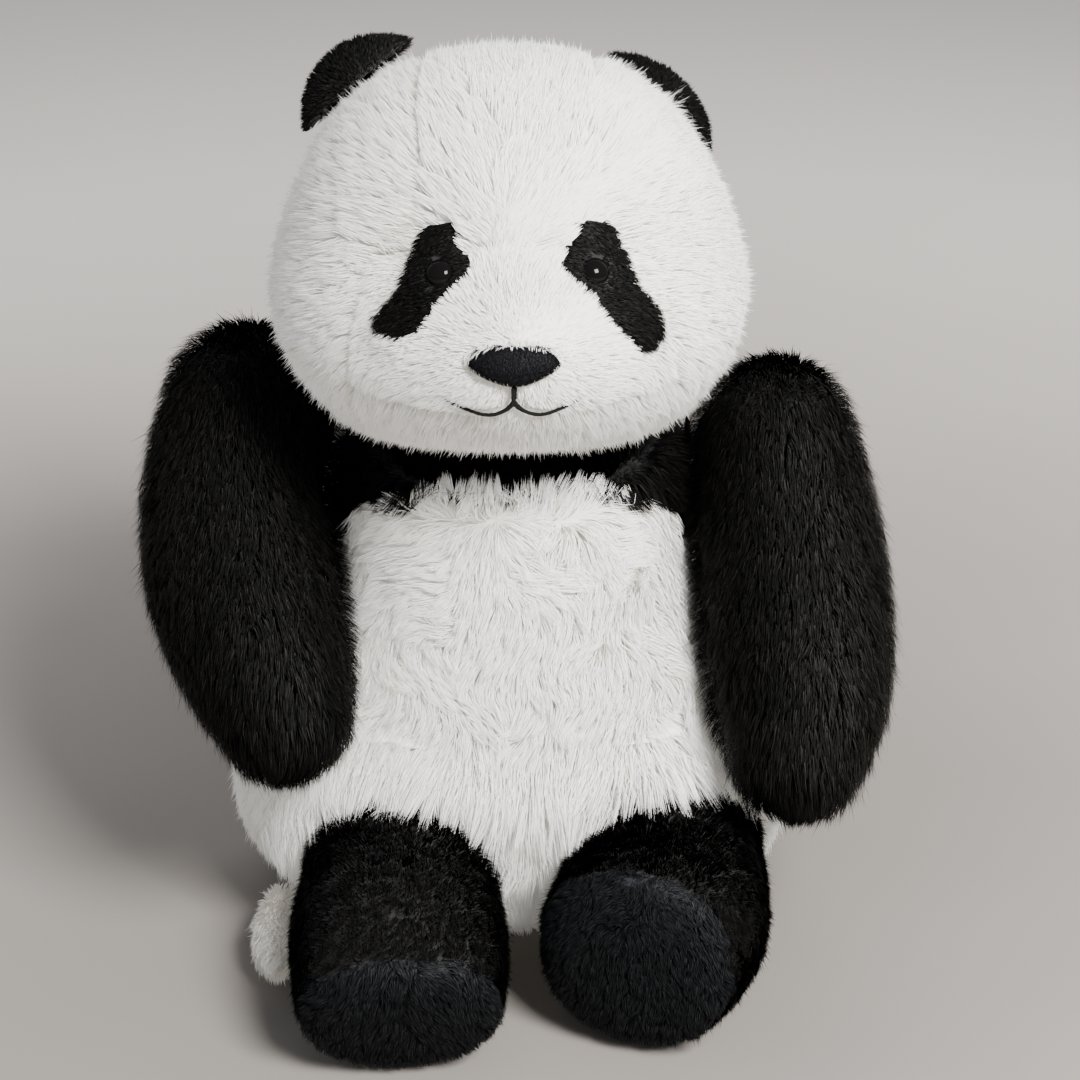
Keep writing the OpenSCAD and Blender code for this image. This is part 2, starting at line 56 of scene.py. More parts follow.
# ------------------------------------------------------------------ places, from the frame
HEAD_C = np.array(JOINTS["head_turn"]["pos_m"])


def middle(name):
    lo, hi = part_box(name)
    return (np.array(lo) + np.array(hi)) / 2


NOSE = middle("nose_pad")
BROW = HEAD_C + np.array([0.001, -0.102, 0.037])
EYE = {s: middle("eye_" + s) for s in ("left", "right")}


# ------------------------------------------------------------------ small maths
def unit(v):
    return v / np.maximum(np.linalg.norm(v, axis=-1, keepdims=True), 1e-9)


def sstep(a, b, x):
    t = np.clip((x - a) / (b - a), 0, 1)
    return t * t * (3 - 2 * t)


_table = np.random.default_rng(11).uniform(-1, 1, (8192, 3))


def noise(p, size, seed=0):
    """A smooth vector field from -1 to 1, with bumps about size metres apart."""
    q = p / size + seed * 17.31
    i = np.floor(q).astype(np.int64)
    f = q - i
    f = f * f * (3 - 2 * f)
    out = np.zeros((len(p), 3))
    for dx in (0, 1):
        for dy in (0, 1):
            for dz in (0, 1):
                h = ((i[:, 0] + dx) * 73856093) ^ ((i[:, 1] + dy) * 19349663) ^ ((i[:, 2] + dz) * 83492791)
                w = (f[:, 0] if dx else 1 - f[:, 0]) * (f[:, 1] if dy else 1 - f[:, 1]) * (f[:, 2] if dz else 1 - f[:, 2])
                out += _table[(h + seed * 977) % 8192] * w[:, None]
    return out


# ------------------------------------------------------------------ materials
def tree(name):
    m = bpy.data.materials.new(name)
    m.use_nodes = True
    n = m.node_tree.nodes
    return m, n, m.node_tree.links, n["Principled BSDF"]


def fibre(name, colour, rough=0.62, spec=0.25, sheen=0.0, tint=(1, 1, 1), painted_glow=0.0):
    m, n, l, b = tree(name)
    co = n.new("ShaderNodeTexCoord")
    t = n.new("ShaderNodeTexNoise")
    t.inputs["Scale"].default_value = 700
    l.new(co.outputs["Object"], t.inputs["Vector"])
    r = n.new("ShaderNodeMapRange")
    r.inputs["To Min"].default_value = rough - 0.12
    r.inputs["To Max"].default_value = min(rough + 0.12, 1.0)
    l.new(t.outputs["Fac"], r.inputs["Value"])
    l.new(r.outputs["Result"], b.inputs["Roughness"])
    # painted light: the fibre glows faintly in its own colour, standing in for light scattered through the pile
    b.inputs["Emission Color"].default_value = (*colour, 1)
    b.inputs["Emission Strength"].default_value = painted_glow
    b.inputs["Base Color"].default_value = (*colour, 1)
    b.inputs["Roughness"].default_value = rough
    b.inputs["Specular IOR Level"].default_value = spec
    b.inputs["Sheen Weight"].default_value = sheen
    b.inputs["Sheen Roughness"].default_value = 0.45
    b.inputs["Sheen Tint"].default_value = (*tint, 1)
    return m


def cloth(name, dark, light, scale=240, bump=0.25, rough=0.85, stretch=(1, 1, 1), sheen=0.3, spec=0.3):
    """Knitted or brushed cloth: mottled colour and a fine raised grain."""
    m, n, l, b = tree(name)
    co = n.new("ShaderNodeTexCoord")
    mp = n.new("ShaderNodeMapping")
    mp.inputs["Scale"].default_value = stretch
    l.new(co.outputs["Object"], mp.inputs["Vector"])
    big = n.new("ShaderNodeTexNoise")
    big.inputs["Scale"].default_value = scale * 0.12
    big.inputs["Detail"].default_value = 4
    fine = n.new("ShaderNodeTexNoise")
    fine.inputs["Scale"].default_value = scale * 4
    fine.inputs["Detail"].default_value = 3
    for t in (big, fine):
        l.new(mp.outputs["Vector"], t.inputs["Vector"])
    ramp = n.new("ShaderNodeValToRGB")
    ramp.color_ramp.elements[0].position = 0.3
    ramp.color_ramp.elements[0].color = (*dark, 1)
    ramp.color_ramp.elements[1].position = 0.7
    ramp.color_ramp.elements[1].color = (*light, 1)
    mix = n.new("ShaderNodeMath")
    mix.operation = "MULTIPLY_ADD"
    l.new(fine.outputs["Fac"], mix.inputs[0])
    mix.inputs[1].default_value = 0.5
    l.new(big.outputs["Fac"], mix.inputs[2])
    sub = n.new("ShaderNodeMath")
    sub.operation = "SUBTRACT"
    l.new(mix.outputs[0], sub.inputs[0])
    sub.inputs[1].default_value = 0.25
    l.new(sub.outputs[0], ramp.inputs["Fac"])
    l.new(ramp.outputs["Color"], b.inputs["Base Color"])
    bp = n.new("ShaderNodeBump")
    bp.inputs["Strength"].default_value = bump
    bp.inputs["Distance"].default_value = 0.0006
    l.new(fine.outputs["Fac"], bp.inputs["Height"])
    l.new(bp.outputs["Normal"], b.inputs["Normal"])
    b.inputs["Roughness"].default_value = rough
    b.inputs["Sheen Weight"].default_value = sheen
    b.inputs["Specular IOR Level"].default_value = spec
    return m


def eye_plastic():
    m, n, l, b = tree("eye_plastic")
    co = n.new("ShaderNodeTexCoord")
    t = n.new("ShaderNodeTexNoise")
    t.inputs["Scale"].default_value = 900
    l.new(co.outputs["Object"], t.inputs["Vector"])
    r = n.new("ShaderNodeMapRange")
    r.inputs["To Min"].default_value = 0.05
    r.inputs["To Max"].default_value = 0.11
    l.new(t.outputs["Fac"], r.inputs["Value"])
    l.new(r.outputs["Result"], b.inputs["Roughness"])
    b.inputs["Base Color"].default_value = (0.003, 0.0027, 0.0027, 1)
    b.inputs["Specular IOR Level"].default_value = 0.1
    return m


def thread_mat(name, colour):
    m, n, l, b = tree(name)
    co = n.new("ShaderNodeTexCoord")
    w = n.new("ShaderNodeTexWave")
    w.bands_direction = "DIAGONAL"
    w.inputs["Scale"].default_value = 900
    w.inputs["Distortion"].default_value = 2.0
    l.new(co.outputs["Object"], w.inputs["Vector"])
    bp = n.new("ShaderNodeBump")
    bp.inputs["Strength"].default_value = 0.7
    bp.inputs["Distance"].default_value = 0.0004
    l.new(w.outputs["Fac"], bp.inputs["Height"])
    l.new(bp.outputs["Normal"], b.inputs["Normal"])
    b.inputs["Base Color"].default_value = (*colour, 1)
    b.inputs["Roughness"].default_value = 0.7
    b.inputs["Specular IOR Level"].default_value = 0.15
    return m


# The root tint of each colour set is darker than its tips: painted shade deep in the pile and, for white, in creases.
# White root strips are also laid at random as a warm tone.
WHITE = [
    fibre("pile_white_tip", (0.95, 0.94, 0.92), sheen=0.1, painted_glow=0.06),
    fibre("pile_white_mid", (0.90, 0.885, 0.855), sheen=0.1, painted_glow=0.08),
    fibre("pile_white_cool", (0.91, 0.915, 0.91), sheen=0.1, painted_glow=0.06),
    fibre("pile_white_root", (0.82, 0.785, 0.70), rough=0.75, spec=0.15, painted_glow=0.12),
]
BLACK = [
    fibre("pile_black_tip", (0.0030, 0.0029, 0.0028), rough=0.6, spec=0.06),
    fibre("pile_black_mid", (0.0025, 0.0025, 0.0024), rough=0.65, spec=0.05),
    fibre("pile_black_brown", (0.0095, 0.0082, 0.0070), rough=0.6, spec=0.10),
    fibre("pile_black_root", (0.0015, 0.0015, 0.0015), rough=0.8, spec=0.03),
]
SOLE = [
    fibre("sole_tip", (0.0060, 0.0066, 0.0074), rough=0.6, spec=0.11),
    fibre("sole_mid", (0.0038, 0.0042, 0.0048), rough=0.65, spec=0.07),
    fibre("sole_light", (0.0125, 0.0138, 0.0155), rough=0.55, spec=0.16),
    fibre("sole_root", (0.004, 0.004, 0.005), rough=0.8, spec=0.08),
]
NOSE_FIBRE = [
    fibre("velour_tip", (0.0045, 0.0048, 0.0058), rough=0.6, spec=0.08),
    fibre("velour_mid", (0.003, 0.003, 0.0038), rough=0.6, spec=0.07),
    fibre("velour_light", (0.0085, 0.009, 0.011), rough=0.55, spec=0.14),
    fibre("velour_root", (0.003, 0.003, 0.0035), rough=0.8, spec=0.05),
]
CLOTH_WHITE = cloth("backing_white", (0.78, 0.75, 0.69), (0.90, 0.885, 0.86))
CLOTH_BLACK = cloth("backing_black", (0.006, 0.006, 0.006), (0.016, 0.015, 0.015), sheen=0.05)
CLOTH_SOLE = cloth("backing_sole", (0.008, 0.008, 0.011), (0.02, 0.021, 0.026), sheen=0.05)
FILL = cloth("fibre_fill", (0.80, 0.80, 0.79), (0.95, 0.95, 0.94), scale=120, bump=0.8, rough=1.0, stretch=(1, 1, 0.3))
COTTON = cloth("bead_pouch_cotton", (0.62, 0.59, 0.53), (0.75, 0.72, 0.66), scale=500, bump=0.4)
VELOUR = cloth("nose_velour", (0.004, 0.004, 0.005), (0.011, 0.011, 0.013), scale=600, bump=0.6, rough=0.75, sheen=0.0, spec=0.12)
EYE_MAT = eye_plastic()
THREAD = thread_mat("black_thread", (0.006, 0.0055, 0.005))
SEAM = thread_mat("seam_thread", (0.002, 0.002, 0.002))
SEAM.node_tree.nodes["Principled BSDF"].inputs["Specular IOR Level"].default_value = 0.02
WASHER = cloth("washer_plastic", (0.66, 0.66, 0.64), (0.74, 0.74, 0.72), scale=900, bump=0.05, rough=0.45, sheen=0.0, spec=0.5)


# ------------------------------------------------------------------ meshes
def add_object(name, me):
    o = bpy.data.objects.new(name, me)
    bpy.context.scene.collection.objects.link(o)
    return o


def cad_arrays(name):
    me = NODES[name].data
    v = np.empty(len(me.vertices) * 3)
    me.vertices.foreach_get("co", v)
    me.calc_loop_triangles()
    t = np.empty(len(me.loop_triangles) * 3, np.int32)
    me.loop_triangles.foreach_get("vertices", t)
    return v.reshape(-1, 3), t.reshape(-1, 3)


def tree_of(name):
    v, t = cad_arrays(name)
    return BVHTree.FromPolygons([tuple(x) for x in v], [tuple(int(i) for i in x) for x in t])


def make_mesh(name, v, faces):
    me = bpy.data.meshes.new(name)
    me.from_pydata([tuple(x) for x in v], [], [tuple(int(i) for i in f) for f in faces])
    me.update()
    return me


def wrapped(nodes, voxel, smooth):
    """One closed smooth surface round these CAD nodes: vertices, quads and vertex normals."""
    vs, ts, k = [], [], 0
    for n in nodes:
        v, t = cad_arrays(n)
        vs.append(v)
        ts.append(t + k)
        k += len(v)
    me = make_mesh("wrap", np.concatenate(vs), np.concatenate(ts))
    o = add_object("wrap", me)
    r = o.modifiers.new("r", "REMESH")
    r.mode = "VOXEL"
    r.voxel_size = voxel
    s = o.modifiers.new("s", "SMOOTH")
    s.factor = 0.5
    s.iterations = smooth
    dg = bpy.context.evaluated_depsgraph_get()
    ev = bpy.data.meshes.new_from_object(o.evaluated_get(dg))
    nv = len(ev.vertices)
    co = np.empty(nv * 3)
    ev.vertices.foreach_get("co", co)
    no = np.empty(nv * 3)
    ev.vertices.foreach_get("normal", no)
    faces = np.array([list(p.vertices) if len(p.vertices) == 4 else list(p.vertices) + [p.vertices[-1]] for p in ev.polygons], np.int32)
    bpy.data.objects.remove(o)
    bpy.data.meshes.remove(ev)
    return co.reshape(-1, 3), faces, no.reshape(-1, 3)


def nearest_dist(bvh, pts, far=0.05):
    out = np.full(len(pts), far)
    for i, p in enumerate(pts):
        d = bvh.find_nearest(p, far)[3]
        if d is not None:
            out[i] = d
    return out


# ------------------------------------------------------------------ fur
def blades(name, P, N, F, L, W, th1, th2, mats, tint, body, clump=0.4, cell=0.006, seed=1, soft=0.78):
    """Tufted pile: each fibre is a curved, tapering strip from the cloth to its tip."""
    rng = np.random.default_rng(seed)
    n = len(P)
    if n == 0:
        return None
    B = np.cross(N, F)
    # where a fibre would end by itself
    d1 = N * np.cos(th1)[:, None] + F * np.sin(th1)[:, None]
    d2 = N * np.cos(th2)[:, None] + F * np.sin(th2)[:, None]
    M = P + d1 * (L * 0.5)[:, None]
    T = M + d2 * (L * 0.5)[:, None]
    # fibres gather into locks: each leans towards its lock's tip
    k = max(1, int(n / max(1.0, (cell * cell) * (n / max(area_of(P, n), 1e-6)))))
    k = min(k, n)
    pick = rng.choice(n, k, replace=False)
    kd = KDTree(k)
    for i, j in enumerate(pick):
        kd.insert(P[j], i)
    kd.balance()
    near = np.array([kd.find(p)[1] for p in P])
    lead = pick[near]
    c = (clump * rng.uniform(0.5, 1.15, n))[:, None]
    shift = (P[lead] - P) * 0.85
    T = T * (1 - c) + (P + (T[lead] - P[lead]) + shift) * c
    M = M + (shift * 0.45 + (M[lead] - P[lead] - (M - P)) * 0.5) * c * 0.6
    # strips face outwards, with some twist
    tw = rng.uniform(-0.45, 0.45, n)[:, None]
    S = unit(B * np.cos(tw) + N * np.sin(tw) * 0.8)
    hw = (W * 0.5)[:, None]
    V = np.empty((n, 5, 3))
    V[:, 0] = P - S * hw
    V[:, 1] = P + S * hw
    V[:, 2] = M - S * hw * 0.8
    V[:, 3] = M + S * hw * 0.8
    V[:, 4] = T
    V[:, :, 2] = np.maximum(V[:, :, 2], 0.0003)
    g = np.cross(V[:, 1] - V[:, 0], V[:, 2] - V[:, 0])
    flip = (g * N).sum(1) < 0
    V[flip] = V[flip][:, [1, 0, 3, 2, 4]]
    me = bpy.data.meshes.new(name)
    me.vertices.add(n * 5)
    me.vertices.foreach_set("co", V.reshape(-1).astype(np.float32))
    base = (np.arange(n) * 5)[:, None]
    loops = np.concatenate([base + np.array([[0, 1, 3, 2]]), base + np.array([[2, 3, 4]])], 1).reshape(-1)
    me.loops.add(n * 7)
    me.loops.foreach_set("vertex_index", loops.astype(np.int32))
    start = (np.arange(n) * 7)[:, None] + np.array([[0, 4]])
    me.polygons.add(n * 2)
    me.polygons.foreach_set("loop_start", start.reshape(-1).astype(np.int32))
    # painted shade: the root quad of over half the strips takes the darker root tint (index 3), and the tip triangle
    # takes the given tint
    mi = np.stack([np.where(rng.random(n) < 0.55, 3, 1), tint], 1)
    me.polygons.foreach_set("material_index", mi.reshape(-1).astype(np.int32))
    me.polygons.foreach_set("use_smooth", np.ones(n * 2, bool))
    for m in mats:
        me.materials.append(m)
    me.update(calc_edges=True)
    # shading follows the coat, as light does through real pile
    g = unit(np.cross(V[:, 1] - V[:, 0], V[:, 2] - V[:, 0]))
    bent = unit(N * soft + g * (1 - soft) + (T - P) / L[:, None] * 0.25)
    side = S * np.where(flip, -1, 1)[:, None]
    VN = np.empty((n, 5, 3))
    VN[:, 0] = unit(bent - side * 0.25)
    VN[:, 1] = unit(bent + side * 0.25)
    VN[:, 2] = VN[:, 0]
    VN[:, 3] = VN[:, 1]
    VN[:, 4] = bent
    me.normals_split_custom_set_from_vertices(VN.reshape(-1, 3).astype(np.float32))
    o = add_object(name, me)
    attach(o, body)
    return o


_area = {}


def area_of(P, n):
    return _area.get("now", 1.0)


def sample(v, quads, vn, per_m2, rng):
    """Random places on a surface: point, normal and how many."""
    a, b, c, d = (v[quads[:, i]] for i in range(4))
    a1 = np.linalg.norm(np.cross(b - a, c - a), axis=1) / 2
    a2 = np.linalg.norm(np.cross(c - a, d - a), axis=1) / 2
    A = a1 + a2
    total = A.sum()
    _area["now"] = total
    n = int(total * per_m2)
    if n < 1:
        return np.zeros((0, 3)), np.zeros((0, 3)), np.zeros(0, int)
    f = rng.choice(len(quads), n, p=A / total)
    second = rng.random(n) < (a2 / np.maximum(A, 1e-12))[f]
    r1, r2 = rng.random(n), rng.random(n)
    s = np.sqrt(r1)
    w0, w1, w2 = 1 - s, s * (1 - r2), s * r2
    q = quads[f]
    i0 = q[:, 0]
    i1 = np.where(second, q[:, 2], q[:, 1])
    i2 = np.where(second, q[:, 3], q[:, 2])
    P = v[i0] * w0[:, None] + v[i1] * w1[:, None] + v[i2] * w2[:, None]
    N = unit(vn[i0] * w0[:, None] + vn[i1] * w1[:, None] + vn[i2] * w2[:, None])
    return P, N, f


# ------------------------------------------------------------------ what each panel is covered with
# pile length, how deep the cloth lies under the CAD surface, strips per mm2, strip width, lean at root and tip, lock strength, lock size, colour
LONG = dict(L=17, depth=8.0, per=0.62, w=1.0, th=(38, 70), clump=0.42, cell=6)
STYLE = {
    "head": dict(LONG, L=11.5, depth=6.0, per=1.75, w=0.44, th=(34, 70), clump=0.45, cell=6),
    "muzzle": dict(LONG, L=8, depth=4.2, per=1.9, w=0.45, th=(36, 70), clump=0.38, cell=3.5),
    "belly": dict(LONG, L=16, depth=8.0, per=1.6, w=0.48, th=(36, 72), clump=0.62, cell=6.5),
    "body": dict(LONG, L=13, depth=6.0, per=0.8, w=0.7, clump=0.5, cell=7),
    "base": dict(LONG, L=6, depth=2.5, per=0.6, w=0.9, th=(60, 84), clump=0.2, cell=6),
    "black": dict(LONG, L=14.5, depth=6.2, per=1.0, w=0.62, th=(36, 70), clump=0.4, cell=6),
    "leg": dict(LONG, L=8.5, depth=5.0, per=1.4, w=0.5, th=(34, 66), clump=0.4, cell=6),
    "sole": dict(LONG, L=7, depth=4.0, per=1.5, w=0.48, th=(30, 62), clump=0.42, cell=6),
    "ear": dict(LONG, L=4.5, depth=1.5, per=2.2, w=0.42, th=(34, 66), clump=0.15, cell=3),
    "patch": dict(LONG, L=6, depth=3.2, per=2.4, w=0.42, th=(34, 66), clump=0.2, cell=3),
    "tail": dict(LONG, L=9, depth=4.0, per=1.5, w=0.55, clump=0.4, cell=5),
}


def style_of(panel):
    if panel.startswith("eye_patch"):
        return "patch", BLACK, CLOTH_BLACK
    if panel == "muzzle_panel":
        return "muzzle", WHITE, CLOTH_WHITE
    if panel.startswith(("head_", "face_", "chin_")):
        return "head", WHITE, CLOTH_WHITE
    if panel == "belly_panel":
        return "belly", WHITE, CLOTH_WHITE
    if panel == "seat_base":
        return "base", WHITE, CLOTH_WHITE
    if panel.startswith(("crotch", "hip_panel", "lower_back")):
        return "body", WHITE, CLOTH_WHITE
    if panel.startswith(("chest", "upper_back", "arm_")):
        return "black", BLACK, CLOTH_BLACK
    if panel.startswith("leg_"):
        return "leg", BLACK, CLOTH_BLACK
    if panel.startswith("foot_sole"):
        return "sole", SOLE, CLOTH_SOLE
    if panel.startswith("ear_"):
        return "ear", BLACK, CLOTH_BLACK
    return "tail", WHITE, CLOTH_WHITE


DOWN = np.array([0.0, 0.0, -1.0])


def flow(group, panel, P, N):
    """Which way the pile lies."""
    if group == "head":
        r = unit(P - BROW)
        back = sstep(-0.03, 0.05, P[:, 1])[:, None]
        low = sstep(0.0, -0.06, P[:, 2] - HEAD_C[2])[:, None]
        d = r * (1 - 0.75 * back) + DOWN * (0.9 * back + 0.35 * low)
        if panel in ("muzzle_panel",) or panel.startswith("eye_patch"):
            m = unit(P - (NOSE + np.array([0, 0.012, 0.004])))
            k = sstep(0.075, 0.045, np.linalg.norm(P - NOSE, axis=1))[:, None]
            d = d * (1 - k) + m * k
            if panel.startswith("eye_patch"):
                d = unit(d) * 0.4 + DOWN * 0.9 + np.sign(P[:, :1]) * np.array([0.45, 0, 0])
        if panel == "chin_panel":
            d = unit(P - NOSE) * 0.5 + DOWN * 0.5 + np.array([0, 0.2, 0])
        turb, size = 0.34, 0.02
    elif group == "torso":
        d = np.tile(DOWN, (len(P), 1))
        if panel == "belly_panel":
            d = d + np.sign(P[:, :1]) * np.abs(P[:, :1]) * np.array([3.0, 0, 0])
            d = d * 0.5 + np.array([0.35, 0, 0]) * np.sin(P[:, 2:3] / 0.011 + 3 * noise(P, 0.04, 8)[:, :1])
            top = sstep(0.220, 0.236, P[:, 2])[:, None]
            d = d * (1 - top) + (np.array([0, -0.2, 0.8]) + P * np.array([7.0, 0, 0])) * top
            low = sstep(0.132, 0.110, P[:, 2])[:, None]
            d = d + DOWN * low * 1.2
            turb, size = 0.72, 0.018
        elif panel.startswith("chest") or panel.startswith("upper_back"):
            d = d + unit(P * np.array([1, 1, 0])) * 0.4
            turb, size = 0.3, 0.02
        elif panel == "seat_base":
            d = unit((P - np.array([0, 0.01, 0])) * np.array([1, 1, 0]))
            turb, size = 0.3, 0.02
        else:
            turb, size = 0.35, 0.022
    elif group.startswith("arm"):
        side = group.split("_")[1]
        piv = np.array(JOINTS[f"arm_{side}_lift"]["pos_m"])
        lo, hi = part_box("arm_stuffing_" + side)
        tip = np.array([(lo[0] + hi[0]) / 2 * 0.9, lo[1], lo[2]])
        ax = unit(tip - piv)
        far = sstep(0.02, 0.12, (P - piv) @ ax)[:, None]
        d = ax * 1.0 + DOWN * 0.35 + unit(P - piv) * 0.25
        d = d + far * ax * 0.4
        turb, size = 0.32, 0.02
    elif group.startswith("leg"):
        side = group.split("_")[1]
        if panel.startswith("foot"):
            c = middle("foot_sole_" + side)
            d = unit(P - c - np.array([0, 0.01, 0.012])) * 0.6 + DOWN * 0.6
            turb, size = 0.5, 0.012
        else:
            d = np.tile(np.array([0, -1.0, -0.25]), (len(P), 1)) + np.array([1.0, 0, 0]) * 0.0
            turb, size = 0.35, 0.015
    elif group.startswith("ear"):
        side = group.split("_")[1]
        root = np.array(JOINTS[f"ear_{side}_flex"]["pos_m"])
        d = unit(P - root)
        turb, size = 0.2, 0.01
    else:
        d = np.tile(np.array([0, -1.0, -0.1]), (len(P), 1))
        turb, size = 0.3, 0.012
    d = d + noise(P, size, 3) * turb + noise(P, size * 0.38, 5) * turb * 0.45
    d = d - (d * N).sum(1)[:, None] * N
    return unit(d)


EYE_SINK = 5.8 * mm
BVH = {}


def bvh(name):
    if name not in BVH:
        BVH[name] = tree_of(name)
    return BVH[name]


GROUPS = {
    "head": (["head_gusset", "muzzle_panel", "chin_panel", "face_side_left", "face_side_right", "head_back_left", "head_back_right", "eye_patch_left", "eye_patch_right"], "head_stuffing", "head", 3.2, 8),
    "torso": (["belly_panel", "crotch_panel", "hip_panel_left", "hip_panel_right", "lower_back_left", "lower_back_right", "chest_yoke", "upper_back_left", "upper_back_right", "seat_base"], "torso_stuffing", "torso", 4.0, 8),
    "arm_left": (["arm_front_left", "arm_back_left"], "arm_stuffing_left", "arm_left", 4.0, 8),
    "arm_right": (["arm_front_right", "arm_back_right"], "arm_stuffing_right", "arm_right", 4.0, 8),
    "leg_left": (["leg_top_left", "leg_under_left", "foot_sole_left"], "leg_stuffing_left", "leg_left", 3.6, 6),
    "leg_right": (["leg_top_right", "leg_under_right", "foot_sole_right"], "leg_stuffing_right", "leg_right", 3.6, 6),
    "ear_left": (["ear_front_left", "ear_back_left"], None, "ear_left", 1.6, 3),
    "ear_right": (["ear_front_right", "ear_back_right"], None, "ear_right", 1.6, 3),
    "tail": (["tail_upper", "tail_under"], "tail_stuffing", "tail", 2.4, 5),
}
# Bodies that press against each other: their cloth meets in the gap
TOUCH = {
    "torso": ["arm_back_left", "arm_front_left", "arm_back_right", "arm_front_right", "leg_top_left", "leg_under_left", "leg_top_right", "leg_under_right", "face_side_left", "face_side_right", "head_back_left", "head_back_right", "head_gusset", "chin_panel"],
    "head": ["chest_yoke", "upper_back_left", "upper_back_right", "ear_front_left", "ear_front_right"],
    "arm_left": ["chest_yoke", "upper_back_left", "hip_panel_left", "belly_panel"],
    "arm_right": ["chest_yoke", "upper_back_right", "hip_panel_right", "belly_panel"],
    "leg_left": ["belly_panel", "crotch_panel", "torso_stuffing"],
    "leg_right": ["belly_panel", "crotch_panel", "torso_stuffing"],
    "ear_left": ["head_gusset"],
    "ear_right": ["head_gusset"],
    "tail": ["hip_panel_right"],
}

seed = 100
for group, (panels, fill, body, voxel, smooth) in GROUPS.items():
    nodes = panels + ([fill] if fill else [])
    v, quads, vn = wrapped(nodes, voxel * mm, smooth)
    mid = v[quads].mean(1)
    # which panel each bit of the surface belongs to
    D = np.stack([nearest_dist(bvh(p), mid, 0.3) for p in panels], 1)
    for k, p in enumerate(panels):
        if p.startswith("eye_patch"):
            plo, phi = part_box(p)
            D[:, k] -= 0.0014 if p.endswith("left") else 0.0002
            D[:, k] -= 0.0030 * sstep(phi[2] - 0.012, phi[2], mid[:, 2])
            D[:, k] += (0.0045 if p.endswith("right") else 0.0015) * sstep(plo[2] + 0.016, plo[2] + 0.004, mid[:, 2])
    if group == "torso":
        fn = unit(np.cross(v[quads[:, 2]] - v[quads[:, 0]], v[quads[:, 3]] - v[quads[:, 1]]))
        fn *= np.sign((fn * vn[quads].mean(1)).sum(1))[:, None]
        inside = ((unit(HEAD_C - mid) * fn).sum(1) > 0.35) & (mid[:, 2] > 0.2)
        for k, p in enumerate(panels):
            if not p.startswith(("chest", "upper")):
                D[inside, k] += 0.2
            if p == "belly_panel":
                D[:, k] -= 0.011 * sstep(0.082, 0.025, np.abs(mid[:, 0] - 0.012)) * sstep(0.215, 0.232, mid[:, 2]) * sstep(-0.02, -0.05, mid[:, 1]) * ~inside
    own = D.argmin(1)
    # depth of the cloth under the CAD surface, smoothed from panel to panel
    depth_f = np.array([STYLE[style_of(p)[0]]["depth"] for p in panels])[own]
    vd = np.zeros(len(v))
    cnt = np.zeros(len(v))
    for i in range(4):
        np.add.at(vd, quads[:, i], depth_f)
        np.add.at(cnt, quads[:, i], 1)
    vd /= np.maximum(cnt, 1)
    for _ in range(6):
        fa = vd[quads].mean(1)
        vd = np.zeros(len(v))
        for i in range(4):
            np.add.at(vd, quads[:, i], fa)
        vd /= np.maximum(cnt, 1)
    if group == "head":
        dn = np.linalg.norm(v - NOSE, axis=1)
        vd *= 1 - 0.55 * sstep(0.045, 0.022, dn)
        for s in EYE:
            vd *= 1 - 0.3 * sstep(0.02, 0.008, np.linalg.norm(v - EYE[s], axis=1))
        # the lip is drawn in along the mouth, which leaves two soft lobes
        vd += 1.5 * np.exp(-((nearest_dist(bvh("mouth_stitch"), v, 0.03) / 0.0032) ** 2))
        first, next_ = own, np.argsort(D, 1)[:, 1]
        gap = np.sort(D, 1)[:, 1]
        for one, two, deep, wide in (("head_gusset", "muzzle_panel", 2.4, 0.0055), ("head_gusset", "face_side_right", 1.0, 0.003)):
            a, b = panels.index(one), panels.index(two)
            cf = np.exp(-((gap / wide) ** 2)) * (((first == a) & (next_ == b)) | ((first == b) & (next_ == a)))
            if two == "face_side_right":
                cf *= sstep(0.02, -0.02, mid[:, 1])
            cv = np.zeros(len(v))
            for i in range(4):
                np.add.at(cv, quads[:, i], cf)
            vd += deep * cv / np.maximum(cnt, 1)
        # the cloth lies lower round the ears, so they stand clear
        for s in EYE:
            for t in ("ear_front_", "ear_back_"):
                vd += 1.3 * sstep(0.016, 0.004, nearest_dist(bvh(t + s), v, 0.03)) * (1.0 if s == "right" else 0.2)
    if group == "torso":
        # the fold across the lower belly
        front = sstep(-0.02, -0.06, v[:, 1])
        vd += 0.8 * np.exp(-(((v[:, 2] - 0.124) / 0.008) ** 2)) * front
    touch = np.full(len(v), 0.05)
    by_leg = np.full(len(v), 0.05)
    for t in TOUCH[group]:
        td = nearest_dist(bvh(t), v, 0.03)
        if t.startswith("leg_"):
            by_leg = np.minimum(by_leg, td)
        touch = np.minimum(touch, td)
    close = sstep(0.024, 0.009, touch)
    vd *= 1 - (0.4 if group == "head" else 0.8) * close
    skin = v - vn * (vd * mm)[:, None]
    # a seam pulls the cloth in a little
    second = np.sort(D, 1)[:, 1] if len(panels) > 1 else np.full(len(quads), 1.0)
    rival = np.argsort(D, 1)[:, 1]
    seam_f = sstep(0.004, 0.0012, second)
    vs_ = np.zeros(len(v))
    for i in range(4):
        np.add.at(vs_, quads[:, i], seam_f)
    vs_ /= np.maximum(cnt, 1)
    skin = skin - vn * (vs_ * 0.45 * mm)[:, None]
    if fill:
        fv = v - vn * ((vd + 2.6) * mm)[:, None]
        if group.startswith(("leg", "arm")):
            # the filling thins out where the limb meets the body
            fv -= vn * ((7.0 if group.startswith("leg") else 3.0) * close * mm)[:, None]
        if group == "torso":
            # the thin rim round the neck holds little filling
            fv[:, 2] -= 0.009 * sstep(0.222, 0.244, v[:, 2])
